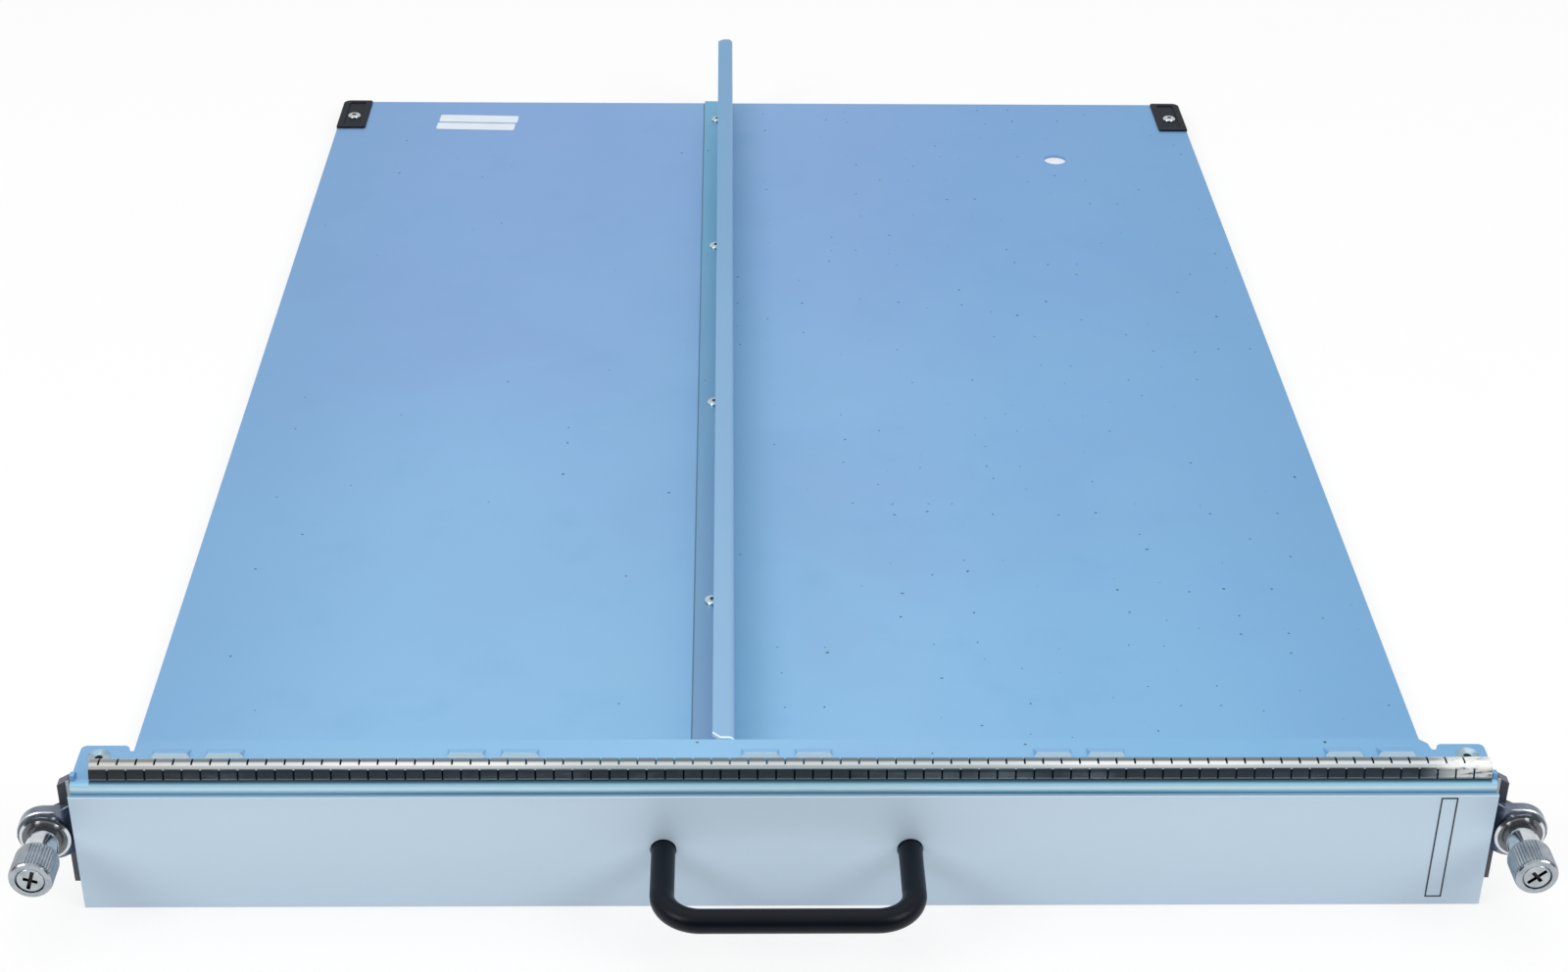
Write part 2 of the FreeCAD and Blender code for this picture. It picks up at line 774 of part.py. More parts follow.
def pieces():
    """Every piece of the filler by the name of its node."""
    guide = corner_guide()
    bracket = ear_bracket()
    guide_rivet = blind_rivet(guide_seat - tray_lift)
    foot_rivet = blind_rivet(bracket_thick + tray_thick)
    lug_rivet = flush_rivet(tray_thick + bracket_thick)
    nodes = {
        "carrier_tray": carrier_tray(),
        "front_panel": front_panel(),
        "finger_gasket": finger_gasket(),
        "pull_handle": pull_handle(),
        "handle_screws": handle_screws(),
        "air_baffle": air_baffle(),
        "baffle_rivets": rivet_row(),
        "left_corner_guide": mirrored(guide),
        "right_corner_guide": guide,
        "guide_rivets": both_ends(guide_rivet, guide_rivet_x, guide_rivet_y, guide_seat),
        "left_ear_bracket": mirrored(bracket),
        "right_ear_bracket": bracket,
        "flange_rivets": both_ends(lug_rivet, lug_rivet_x, lug_rivet_y, flange_top),
        "foot_rivets": both_ends(foot_rivet, lug_rivet_x, lug_rivet_y, base_top + bracket_thick),
    }
    for side, sign, turn in (("left", -1, left_recess_turn), ("right", 1, right_recess_turn)):
        nodes[side + "_screw_retainer"] = at_screw(screw_retainer(), sign)
        nodes[side + "_screw_knob"] = at_screw(screw_knob(), sign)
        nodes[side + "_captive_screw"] = at_screw(captive_screw(turn), sign)
        nodes[side + "_screw_spring"] = at_screw(screw_spring(), sign)
    return nodes


os.makedirs("parts", exist_ok=True)
for name, shape in pieces().items():
    placed = moved(shape, 0, -origin_y, 0)
    placed.exportStep("parts/" + name + ".step")
    print(name, len(placed.Solids), "solids", round(placed.Volume, 2), "mm3", placed.isValid())
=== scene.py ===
# %% [markdown]
# A slot filler closes an empty slot of a large card cage. It is a folded tray of zinc
# plated steel with a silver panel in front, a bow handle, a strip of spring fingers on the
# top flange, an air baffle down the middle and a captive thumbscrew at each end.
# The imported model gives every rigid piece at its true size, so this lesson adds the light,
# the finishes, and the few things that the solids leave out.

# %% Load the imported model
import math

import bmesh
import bpy
from mathutils import Matrix, Vector


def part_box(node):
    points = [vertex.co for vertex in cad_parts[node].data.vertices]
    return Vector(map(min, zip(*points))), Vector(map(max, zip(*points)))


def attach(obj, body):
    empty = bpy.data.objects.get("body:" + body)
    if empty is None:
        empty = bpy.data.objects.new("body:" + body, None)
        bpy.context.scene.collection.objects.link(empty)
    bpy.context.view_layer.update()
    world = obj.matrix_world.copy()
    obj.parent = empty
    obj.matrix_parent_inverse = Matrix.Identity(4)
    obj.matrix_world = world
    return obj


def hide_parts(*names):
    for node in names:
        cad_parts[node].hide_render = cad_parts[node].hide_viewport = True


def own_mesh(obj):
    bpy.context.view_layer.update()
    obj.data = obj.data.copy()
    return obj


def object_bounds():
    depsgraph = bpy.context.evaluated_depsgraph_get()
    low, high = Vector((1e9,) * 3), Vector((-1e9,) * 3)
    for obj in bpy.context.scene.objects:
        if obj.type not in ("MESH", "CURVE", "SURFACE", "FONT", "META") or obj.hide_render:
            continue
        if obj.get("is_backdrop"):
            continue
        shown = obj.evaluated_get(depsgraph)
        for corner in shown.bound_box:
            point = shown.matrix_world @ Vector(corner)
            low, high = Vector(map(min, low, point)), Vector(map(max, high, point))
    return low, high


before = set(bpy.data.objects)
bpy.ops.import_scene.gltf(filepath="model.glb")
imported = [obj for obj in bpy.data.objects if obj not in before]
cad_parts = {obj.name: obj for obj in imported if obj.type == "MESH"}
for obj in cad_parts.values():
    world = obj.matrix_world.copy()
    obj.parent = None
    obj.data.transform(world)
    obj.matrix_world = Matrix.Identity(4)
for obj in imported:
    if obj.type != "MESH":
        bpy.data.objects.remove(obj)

scene = bpy.context.scene
cad_low, cad_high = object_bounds()
print("nodes:", len(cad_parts), "box:", [round(side, 4) for side in cad_high - cad_low])

# %% [markdown]
# The camera stands in front of the panel and looks down on the tray. Its place and its
# long lens come from straight edges of known size: a camera placed by eye would get the
# tray's taper wrong, and then no other piece could be compared with the real one.

# %% The camera
CAMERA_PLACE = (-0.015894, -0.790220, 0.449560)
CAMERA_HEADING = 0.02578      # turned to the right of straight ahead, in radians
CAMERA_DIP = 0.53887          # looking down
CAMERA_ROLL = 0.01418
CAMERA_LENS = 59.673          # in millimetres, as is the sensor's width
SENSOR_WIDE = 36.0
NEAR_CLIP = 0.01


def add_camera():
    """Camera at the measured place, turned by heading, dip and roll in that order."""
    data = bpy.data.cameras.new("camera")
    data.sensor_fit = "HORIZONTAL"
    data.sensor_width = SENSOR_WIDE
    data.lens = CAMERA_LENS
    data.clip_start = NEAR_CLIP
    camera = bpy.data.objects.new("camera", data)
    scene.collection.objects.link(camera)
    turn = Matrix.Rotation(-CAMERA_HEADING, 4, "Z")
    turn = turn @ Matrix.Rotation(math.pi / 2 - CAMERA_DIP, 4, "X")
    turn = turn @ Matrix.Rotation(CAMERA_ROLL, 4, "Z")
    camera.matrix_world = Matrix.Translation(CAMERA_PLACE) @ turn
    scene.camera = camera
    return camera


print("camera at", [round(v, 3) for v in add_camera().location])

# %% [markdown]
# A finish is a small graph of nodes. Wiring every node by hand hides the idea, so one class
# wraps a socket and lets Python's own operators add the Math nodes, and one method makes
# any other node from its type, its settings and its sockets.

# %% Sockets that can be added and multiplied
class Value:
    """A node's output: an operator on it adds a Math node to the same graph."""

    def __init__(self, graph, socket):
        self.graph = graph
        self.socket = socket

    def math(self, operation, first, second):
        return self.graph.node("ShaderNodeMath", {"operation": operation}, {0: first, 1: second})

    def __add__(self, other):
        return self.math("ADD", self, other)

    def __radd__(self, other):
        return self.math("ADD", other, self)

    def __sub__(self, other):
        return self.math("SUBTRACT", self, other)

    def __rsub__(self, other):
        return self.math("SUBTRACT", other, self)

    def __mul__(self, other):
        return self.math("MULTIPLY", self, other)

    def __rmul__(self, other):
        return self.math("MULTIPLY", other, self)

    def __abs__(self):
        return self.math("ABSOLUTE", self, 0.0)

    def __lt__(self, other):
        return self.math("LESS_THAN", self, other)

    def __gt__(self, other):
        return self.math("GREATER_THAN", self, other)

    def about(self, middle, spread):
        """A pattern from 0 to 1, as values about a middle that lie within this spread."""
        return middle + (self - 0.5) * spread


# %% Graphs of nodes
class Graph:
    """A node tree that is filled one node at a time."""

    def __init__(self, tree):
        self.tree = tree

    def feed(self, socket, value):
        """Links a Value to a socket, or sets a plain number, colour or vector on it."""
        if isinstance(value, Value):
            self.tree.links.new(value.socket, socket)
        elif isinstance(value, tuple) and len(value) == 3 and socket.type == "RGBA":
            socket.default_value = (*value, 1.0)
        else:
            socket.default_value = value

    def node(self, kind, settings=None, sockets=None, out=0):
        """Adds a node: its settings first, then its sockets by name or number."""
        made = self.tree.nodes.new(kind)
        for name, value in (settings or {}).items():
            setattr(made, name, value)
        for key, value in (sockets or {}).items():
            self.feed(made.inputs[key], value)
        return Value(self, made.outputs[out])

    def outputs(self, value, *names):
        """Other outputs of the node that a Value came from."""
        return [Value(self, value.socket.node.outputs[name]) for name in names]

    def ease(self, value, low, high):
        """0 below low, 1 above high, and a smooth step between them."""
        settings = {"interpolation_type": "SMOOTHSTEP"}
        sockets = {"Value": value, "From Min": low, "From Max": high}
        return self.node("ShaderNodeMapRange", settings, sockets)

    def blend(self, share, first, second):
        """Colour that goes from the first to the second as the share goes from 0 to 1."""
        settings = {"data_type": "RGBA"}
        # sockets 6 and 7 and output 2 are the node's colours, under names that repeat
        return self.node("ShaderNodeMix", settings, {0: share, 6: first, 7: second}, out=2)

    def tint(self, base, colour, mask, most=1.0):
        """Lays a colour over a base where a mask is 1, covering at most this share of it."""
        return self.blend(mask * most, base, colour)

    def axes(self, vector):
        """The three parts of a vector, as Values."""
        split = self.node("ShaderNodeSeparateXYZ", None, {0: vector})
        return self.outputs(split, "X", "Y", "Z")

    def noise(self, vector, scale=1.0, detail=3.0, roughness=0.5):
        """Cloudy values from 0 to 1."""
        sockets = {"Vector": vector, "Scale": scale, "Detail": detail, "Roughness": roughness}
        return self.node("ShaderNodeTexNoise", None, sockets)


# %% Finishes
class Finish(Graph):
    """A material with one Principled shader and a pattern on Object coordinates."""

    def __init__(self, name, constants=None):
        self.material = bpy.data.materials.new(name)
        self.material.use_nodes = True
        super().__init__(self.material.node_tree)
        self.shader = self.tree.nodes["Principled BSDF"]
        self.place = self.node("ShaderNodeTexCoord", out="Object")
        for socket, value in (constants or {}).items():
            self.set(socket, value)

    def set(self, socket, value):
        self.feed(self.shader.inputs[socket], value)

    def stretched(self, x, y, z):
        """Object coordinates, scaled along each axis."""
        return self.node("ShaderNodeMapping", None, {"Vector": self.place, "Scale": (x, y, z)})

    def bump(self, height, distance, strength):
        """Fine relief: the height's full range is this distance, in metres."""
        sockets = {"Height": height, "Distance": distance, "Strength": strength}
        self.set("Normal", self.node("ShaderNodeBump", None, sockets))


def tone(*parts):
    """A screen colour, 0 to 255, as linear numbers for a shader, by the sRGB curve."""
    shares = [part / 255 for part in parts]
    return tuple(
        ((share + 0.055) / 1.055) ** 2.4 if share > 0.04045 else share / 12.92 for share in shares
    )


def dress(finish, *nodes):
    """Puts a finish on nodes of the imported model."""
    for name in nodes:
        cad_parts[name].data.materials.clear()
        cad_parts[name].data.materials.append(finish.material)
    print(finish.material.name, "on", ", ".join(nodes))


# %% [markdown]
# Bright metal shows its surroundings more than its own colour. The studio is a pale dome
# that is dark in front, where the room behind the camera is not lit, and the table ends a
# little in front of the object: the dark beyond it gives the spring fingers their dark front
# and the knobs their contrast. A soft lamp on each side of the camera throws the soft shadows
# that the handle and the knobs leave on the panel, and one overhead lifts the tray.

# %% The studio dome
WHITE = (1.0, 1.0, 1.0)
DOME_BRIGHT = 0.86
DOME_DARK = 0.07
DOME_LEAN = 0.5               # how much higher the dark reaches in front than at the sides
DOME_RISE = (0.12, 0.36)      # the dome brightens between these heights, as a sine


def add_dome():
    """World that is plain white to the camera and shaded for everything else."""
    world = bpy.data.worlds.new("studio")
    scene.world = world
    world.use_nodes = True
    graph = Graph(world.node_tree)
    direction = graph.node("ShaderNodeTexCoord")
    _, y, z = graph.axes(direction)
    lit = graph.ease(z + y * DOME_LEAN, *DOME_RISE)
    level = DOME_DARK + lit * (DOME_BRIGHT - DOME_DARK)
    camera_ray = graph.node("ShaderNodeLightPath", out="Is Camera Ray")
    background = world.node_tree.nodes["Background"]
    graph.feed(background.inputs["Color"], WHITE)
    graph.feed(background.inputs["Strength"], level + camera_ray * (1 - level))


add_dome()
print("dome from", DOME_DARK, "to", DOME_BRIGHT)

# %% The table
TABLE_FRONT = -0.37
TABLE_REACH = 6.0
TABLE_DROP = 0.0002           # under the object, so that no faces lie in one plane
TABLE_WHITE = 0.75            # share of plain white near the object, where the shadows lie
TABLE_FADE = (0.5, 4.0)       # it turns all white between these distances, squared
TABLE_GREY = (0.90, 0.90, 0.90)
TABLE_PALE = (0.92, 0.92, 0.92)


def table_paint():
    """Pale paint that fades to plain white far from the object, and keeps its shadow."""
    paint = Finish("pale_table", {"Roughness": 0.9})
    grain = paint.noise(paint.place, scale=30.0)
    paint.set("Base Color", paint.blend(grain, TABLE_GREY, TABLE_PALE))
    camera_ray = paint.node("ShaderNodeLightPath", out="Is Camera Ray")
    glossy, through = paint.outputs(camera_ray, "Is Glossy Ray", "Is Transmission Ray")
    white = paint.node("ShaderNodeEmission", None, {"Color": WHITE})
    x, y, _ = paint.axes(paint.place)
    far = paint.ease(x * x + y * y, *TABLE_FADE) * (1 - TABLE_WHITE)
    seen = (camera_ray + glossy + through) * (TABLE_WHITE + far)
    lit = Value(paint, paint.shader.outputs[0])
    mixed = paint.node("ShaderNodeMixShader", None, {0: seen, 1: lit, 2: white})
    paint.feed(paint.tree.nodes["Material Output"].inputs["Surface"], mixed)
    return paint


def add_table():
    """Wide pale table top, just under the object."""
    mesh = bpy.data.meshes.new("table")
    shape = bmesh.new()
    bmesh.ops.create_grid(shape, x_segments=1, y_segments=1, size=TABLE_REACH)
    middle = (0, TABLE_FRONT + TABLE_REACH, -TABLE_DROP)
    bmesh.ops.translate(shape, verts=shape.verts, vec=middle)
    shape.to_mesh(mesh)
    shape.free()
    mesh.materials.append(table_paint().material)
    table = bpy.data.objects.new("table", mesh)
    scene.collection.objects.link(table)
    table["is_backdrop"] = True


add_table()
print("table from", TABLE_FRONT)


# %% The lamps
def add_lamp(name, place, aim, width, height, power):
    """Soft rectangular lamp that points at a place on the object."""
    data = bpy.data.lights.new(name, "AREA")
    data.shape = "RECTANGLE"
    data.size = width
    data.size_y = height
    data.energy = power
    lamp = bpy.data.objects.new(name, data)
    scene.collection.objects.link(lamp)
    lamp.location = place
    lamp.rotation_euler = (Vector(aim) - Vector(place)).to_track_quat("-Z", "Y").to_euler()


SOFTBOX = {"aim": (0, -0.2, 0), "width": 0.8, "height": 0.6, "power": 8.0}
add_lamp("left_softbox", place=(-1.2, -1.0, 0.95), **SOFTBOX)
add_lamp("right_softbox", place=(1.2, -1.0, 0.95), **SOFTBOX)
add_lamp("top_softbox", place=(0, 0.2, 1.8), aim=(0, 0, 0), width=1.6, height=1.6, power=4.0)
print("three lamps")

# %% [markdown]
# The tray and the baffle are zinc plated steel with a clear blue passivation: a satin metal
# that turns a little purple towards the rear, with faint clouds from the bath and a few dark
# specks. The colour follows the depth, clouds of two sizes shift it, and the specks are the
# few cells of a Voronoi pattern that a random number lets through. Each piece then gets the
# marks that only it has. A picture painted by hand could hold them all, but masks that are
# worked out from the place on the piece stay sharp at any size.

# %% Specks in the plating
SPECK_WOBBLE = (0.0012, 0.0012, 0.0012)    # noise bends the cells, so no speck is quite round
WOBBLE_SCALE = 900.0
SMALLEST = 0.3                # radius of the smallest speck, as a share of the largest


def specks(finish, per_metre, share, largest):
    """Mask of small specks: a share of the cells has one, of up to the largest radius."""
    sockets = {"Vector": finish.place, "Scale": WOBBLE_SCALE}
    wobble = finish.node("ShaderNodeTexNoise", None, sockets, out="Color")
    sockets = {0: wobble, 1: SPECK_WOBBLE}
    shift = finish.node("ShaderNodeVectorMath", {"operation": "MULTIPLY"}, sockets)
    place = finish.node("ShaderNodeVectorMath", {"operation": "ADD"}, {0: finish.place, 1: shift})
    settings = {"voronoi_dimensions": "2D"}
    cell = finish.node("ShaderNodeTexVoronoi", settings, {"Vector": place, "Scale": per_metre})
    colour = finish.outputs(cell, "Color")[0]
    split = finish.node("ShaderNodeSeparateColor", None, {0: colour})
    chosen, size = finish.outputs(split, "Red", "Green")
    radius = (SMALLEST + size * (1 - SMALLEST)) * largest
    return (chosen < share) * (cell < radius * per_metre)


# %% [markdown]
# The tray is darker towards its sides and cooler on the right. A painted glow makes it
# paler near the baffle, for the light that the baffle throws back, the baffle's shade on its
# right is painted, and a painted shadow line runs along its foot on the left. These are faint
# differences on one flat sheet, too local for the lamps to give, so they are painted into the
# colour.

# %% Tones across the tray
ZINC_EDGE = tone(122, 169, 211)
ZINC_COOL = tone(106, 172, 218)
# painted glow near the baffle, for the light that it throws back
ZINC_PAINTED_GLOW = tone(158, 212, 248)
# painted shade beside the baffle, on its right
BAFFLE_SHADE_TONE = tone(84, 142, 168)
# painted shade: under the gasket, behind the panel and along the baffle's foot
ZINC_SHADE = tone(38, 72, 86)
baffle_low, baffle_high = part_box("air_baffle")
FOOT_TOP = baffle_low.z + 0.0012
DARK_SIDES = (0.008, 0.036)   # distances from the middle, squared
COOL_RIGHT = (0.02, 0.10)
PAINTED_GLOW_REACH = (0.005, 0.06)     # distances from the baffle, over which the painted glow fades
SHADE_REACH = 0.018           # how far the baffle's painted shade goes to the right
SHADE_START = (baffle_low.y - 0.004, baffle_low.y + 0.004)
FOOT_SHADOW_WIDE = 0.0005                 # width of the painted shadow line along the baffle's foot


def tray_tones(zinc, base):
    """Tones of the sheet from side to side, with a painted glow, painted shade and a painted
    shadow line by the baffle.
    """
    across, depth, height = zinc.axes(zinc.place)
    aside = across - baffle_high.x
    on_base = height < FOOT_TOP
    # painted shade of the baffle on the sheet to its right
    baffle_shade = (across > baffle_high.x) * (1 - zinc.ease(aside, 0.0, SHADE_REACH))
    baffle_shade = baffle_shade * on_base * zinc.ease(depth, *SHADE_START)
    # painted shadow line along the baffle's foot
    foot_shadow = (across > baffle_low.x - FOOT_SHADOW_WIDE) * (across < baffle_low.x) * (depth > baffle_low.y)
    base = zinc.tint(base, ZINC_EDGE, zinc.ease(across * across, *DARK_SIDES), most=0.6)
    base = zinc.tint(base, ZINC_COOL, zinc.ease(across, *COOL_RIGHT), most=0.3)
    # painted glow near the baffle
    base = zinc.tint(base, ZINC_PAINTED_GLOW, 1 - zinc.ease(abs(aside), *PAINTED_GLOW_REACH), most=0.22)
    base = zinc.tint(base, BAFFLE_SHADE_TONE, baffle_shade, most=0.32)
    # painted shadow line at the baffle's foot
    return zinc.tint(base, ZINC_SHADE, foot_shadow * on_base, most=0.6)


print("baffle on the tray at height", round(baffle_low.z, 5))

# %% [markdown]
# In front the sheet folds up into a web and back into a flange. A painted sheen makes the
# outside of the bend pale, with a painted highlight along its crest. The gasket's shade is
# painted on the flange under it, a painted shadow line shows where the bend goes down behind
# the panel, and the cut fronts of the raised lances are bare metal with a painted highlight.
# Each is a mask between two depths or heights.

# %% Places on the front fold
# painted sheen on the outside of the bend
ZINC_BEND_SHEEN = tone(172, 226, 247)
# bare metal brightened as a painted highlight: lance fronts, the bend's crest and the baffle's
# cut
ZINC_BARE_AND_HIGHLIGHT = tone(220, 244, 255)
strip_low, strip_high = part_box("finger_gasket")
panel_low, panel_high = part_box("front_panel")
FLANGE_TOP = 0.0400
FLANGE_UNDER = 0.0390
UNDER_FRONT = (strip_low.y - 0.0010, strip_low.y - 0.0002)     # the gasket's painted shade starts
UNDER_REAR = (strip_high.y + 0.0010, strip_high.y + 0.0026)    # and ends
BEND_START = 0.0379           # the front web starts to bend at this height
BEND_REAR = strip_low.y - 0.0002
BEND_SLOPE = 0.4              # lets the mask reach the bend's outside and not the web's rear
BEND_RISE = (panel_high.z, panel_high.z + 0.0012)
BEND_ENDS = (FLANGE_UNDER, FLANGE_TOP - 0.0002)
CREST = 0.0382                # height of the painted highlight along the bend
CREST_FADE = (0.0002, 0.0007)
GAP_FADE = (panel_high.z + 0.0004, panel_high.z + 0.0014)
GAP_DARK = 0.45               # the painted shadow line behind the panel, in the middle
GAP_ENDS = (0.004, 0.018)     # it gets paler between these distances, squared
GAP_PALER = 0.33
LANCE_FRONT = -0.24416        # the lances' cut fronts lie between these, above the flange
LANCE_REAR = -0.24345
LANCE_LOW = FLANGE_TOP + 0.0001
BARE_DULL = 0.65              # a bare cut is less metallic than the plating by this
BEND_DULL = 0.6
print("top of the panel", round(panel_high.z, 4), "front of the gasket", round(strip_low.y, 4))


# %% Marks of the tray
def fold_masks(zinc):
    """Masks of the painted sheen on the bend, the painted shade under the gasket and the painted
    shadow line behind the panel.
    """
    across, depth, height = zinc.axes(zinc.place)
    within = (across > strip_low.x) * (across < strip_high.x)
    # painted shade of the gasket on the flange under and behind it
    under = zinc.ease(depth, *UNDER_FRONT) * (1 - zinc.ease(depth, *UNDER_REAR))
    under = under * within * (height > FLANGE_UNDER)
    outside = depth - (height - BEND_START) * BEND_SLOPE < BEND_REAR
    bend = zinc.ease(height, *BEND_RISE) * outside * (1 - under)
    bend = bend * (1 - (1 - within) * zinc.ease(height, *BEND_ENDS))
    # painted shadow line where the bend goes down behind the panel
    gap = outside * (height > panel_low.z) * (1 - zinc.ease(height, *GAP_FADE))
    return bend, under, gap


def tray_marks(zinc, base):
    """The sheet's tones, its painted light and bare cuts on the fold, and how much less metallic
    these are.
    """
    across, depth, height = zinc.axes(zinc.place)
    bend, under, gap = fold_masks(zinc)
    crest = (1 - zinc.ease(abs(height - CREST), *CREST_FADE)) * bend
    dark = GAP_DARK - zinc.ease(across * across, *GAP_ENDS) * GAP_PALER
    # the lances' bare cut fronts, painted bright as a highlight
    bare = (height > LANCE_LOW) * (depth > LANCE_FRONT) * (depth < LANCE_REAR)
    # painted sheen and painted highlight on the bend
    base = zinc.tint(tray_tones(zinc, base), ZINC_BEND_SHEEN, bend, most=0.9)
    base = zinc.tint(base, ZINC_BARE_AND_HIGHLIGHT, crest, most=0.9)
    # painted shade under the gasket
    base = zinc.tint(base, ZINC_SHADE, under, most=0.92)
    # painted shadow line behind the panel
    base = zinc.tint(base, ZINC_SHADE, gap, most=dark)
    return zinc.tint(base, ZINC_BARE_AND_HIGHLIGHT, bare), bare * BARE_DULL + bend * BEND_DULL


# %% [markdown]
# The baffle is a folded strip with a foot, a web and a return flange at the top. Its foot
# looks greyer than its top, and its cut front end is bare metal with a painted highlight. The
# return flange has a slanted corner there, so the nearer of two edges, the straight one and
# the slanted one, counts.

# %% Marks of the baffle
FOOT_FRONT = tone(141, 177, 212)
FOOT_REAR = tone(121, 187, 219)
TRAY_DEPTH = (-0.27, 0.27)    # tones change from front to rear between these
RETURN_WIDE = 0.0061
RETURN_DEEP = 0.0015
CORNER_CUT = 0.0022
CUT_EDGE = 0.0008


def baffle_marks(zinc, base):
    """A greyer foot, and bare metal with a painted highlight along the cut at the front end."""
    across, depth, height = zinc.axes(zinc.place)
    foot = zinc.blend(zinc.ease(depth, *TRAY_DEPTH), FOOT_FRONT, FOOT_REAR)
    base = zinc.tint(base, foot, height < FOOT_TOP, most=0.85)
    behind = depth - baffle_low.y
    corner = behind + across - (baffle_high.x - RETURN_WIDE) - CORNER_CUT
    cut = behind.math("MINIMUM", behind, corner) < CUT_EDGE
    # bare cut, painted bright as a highlight
    bare = cut * (height > baffle_high.z - RETURN_DEEP)
    return zinc.tint(base, ZINC_BARE_AND_HIGHLIGHT, bare), bare * BARE_DULL


# %% [markdown]
# With the marks at hand, one function makes the sheet of both pieces. The clouds shift the
# change from front to rear as well as the tone, so no straight border shows, and the specks
# are more frequent on the right.

# %% Plated sheet
ZINC_FRONT = tone(147, 196, 233)
ZINC_REAR = tone(134, 173, 223)
BAFFLE_FRONT = tone(149, 190, 224)
BAFFLE_REAR = tone(124, 172, 211)
ZINC_PURPLE = tone(140, 164, 209)
ZINC_TEAL = tone(126, 176, 212)
SPECK = tone(70, 85, 100)
SPECK_CELLS = 85.0            # per metre
SPECK_LARGEST = 0.00046
SPECKS_LEFT = 0.08            # share of the cells with a speck
SPECKS_MORE = 0.34            # and how many more on the right
SPECKS_RISE = (-0.04, 0.04)
METALLIC = 0.75


def plated_sheet(name, front, rear, marks):
    """Satin zinc between two tones, with clouds, specks and a piece's own marks."""
    zinc = Finish(name)
    across, depth, _ = zinc.axes(zinc.place)
    clouds = zinc.noise(zinc.place, scale=7.0, detail=3.0, roughness=0.55)
    mottle = zinc.noise(zinc.place, scale=38.0, detail=4.0, roughness=0.6)
    base = zinc.blend(zinc.ease(clouds.about(depth, spread=0.25), *TRAY_DEPTH), front, rear)
    base = zinc.tint(base, ZINC_PURPLE, zinc.ease(clouds, 0.48, 0.72), most=0.18)
    base = zinc.tint(base, ZINC_TEAL, zinc.ease(mottle, 0.50, 0.80), most=0.25)
    base, bare = marks(zinc, base)
    share = SPECKS_LEFT + zinc.ease(across, *SPECKS_RISE) * SPECKS_MORE
    dots = specks(zinc, SPECK_CELLS, share, SPECK_LARGEST)
    zinc.set("Base Color", zinc.tint(base, SPECK, dots, most=0.8))
    zinc.set("Metallic", METALLIC - bare)
    zinc.set("Roughness", mottle.about(0.44, spread=0.14) + dots * 0.2)
    grain = zinc.noise(zinc.place, scale=1500.0, detail=2.0)
    zinc.bump(grain, distance=0.00003, strength=0.25)
    return zinc


dress(plated_sheet("zinc_tray", ZINC_FRONT, ZINC_REAR, tray_marks), "carrier_tray")
dress(plated_sheet("zinc_baffle", BAFFLE_FRONT, BAFFLE_REAR, baffle_marks), "air_baffle")

# %% [markdown]
# The panel in front is finished in fine silver: smoother and paler than the tray, so it
# shows a soft reflection of the handle and of the thumbscrews beside it. It gets paler
# towards the top, and painted shade darkens its upper edge.

# %% Silver panel
PANEL_TOP_SHADE = tone(128, 164, 186)
EDGE_DEEP = 0.0002            # the painted shade starts this far below the top and behind the face


def silver_panel():
    """Pale satin silver with a barely visible grain along the panel."""
    silver = Finish("silver_panel", {"Metallic": 0.15})
    grain = silver.noise(silver.stretched(60.0, 900.0, 900.0))
    haze = silver.noise(silver.place, scale=11.0, detail=2.0)
    _, depth, height = silver.axes(silver.place)
    lower = silver.blend(haze, tone(190, 211, 227), tone(197, 216, 234))
    upper = silver.blend(haze, tone(205, 227, 243), tone(211, 231, 249))
    base = silver.blend(silver.ease(height, panel_low.z, panel_high.z), lower, upper)
    # painted shade on the panel's top face
    edge = (height > panel_high.z - EDGE_DEEP) * (depth > panel_low.y + EDGE_DEEP)
    silver.set("Base Color", silver.tint(base, PANEL_TOP_SHADE, edge, most=0.9))
    silver.set("Roughness", haze.about(grain.about(0.44, spread=0.06), spread=0.05))
    silver.bump(grain, distance=0.00001, strength=0.2)
    return silver


dress(silver_panel(), "front_panel")

# %% [markdown]
# The spring fingers are bare, bright strip that touches the next card. It is smooth, a
# little warm in colour, tarnished at the left end and scuffed at the right end, where it
# has rubbed. Painted shade makes it dimmer in the middle and darker where the fingers curve
# down in front and behind, and a painted highlight runs along their lower edge. The lamps
# alone give too little of this, so painted tones add to it.

# %% Spring strip
FINGER_FRONT = (strip_low.y + 0.0009, strip_low.y + 0.0012)
CROWN_REAR = (strip_low.y + 0.0026, strip_low.y + 0.0031)
TIP_TOP = strip_low.z + 0.0005
TARNISHED = (-0.175, -0.140)     # along the strip
WORN = (0.163, 0.177)
DIM_MIDDLE = (0.0016, 0.0064)    # distances from the middle, squared
DIM_ENDS = (0.012, 0.018)
DIM_AGAIN = 0.6                  # share of the dimness that comes back towards the ends


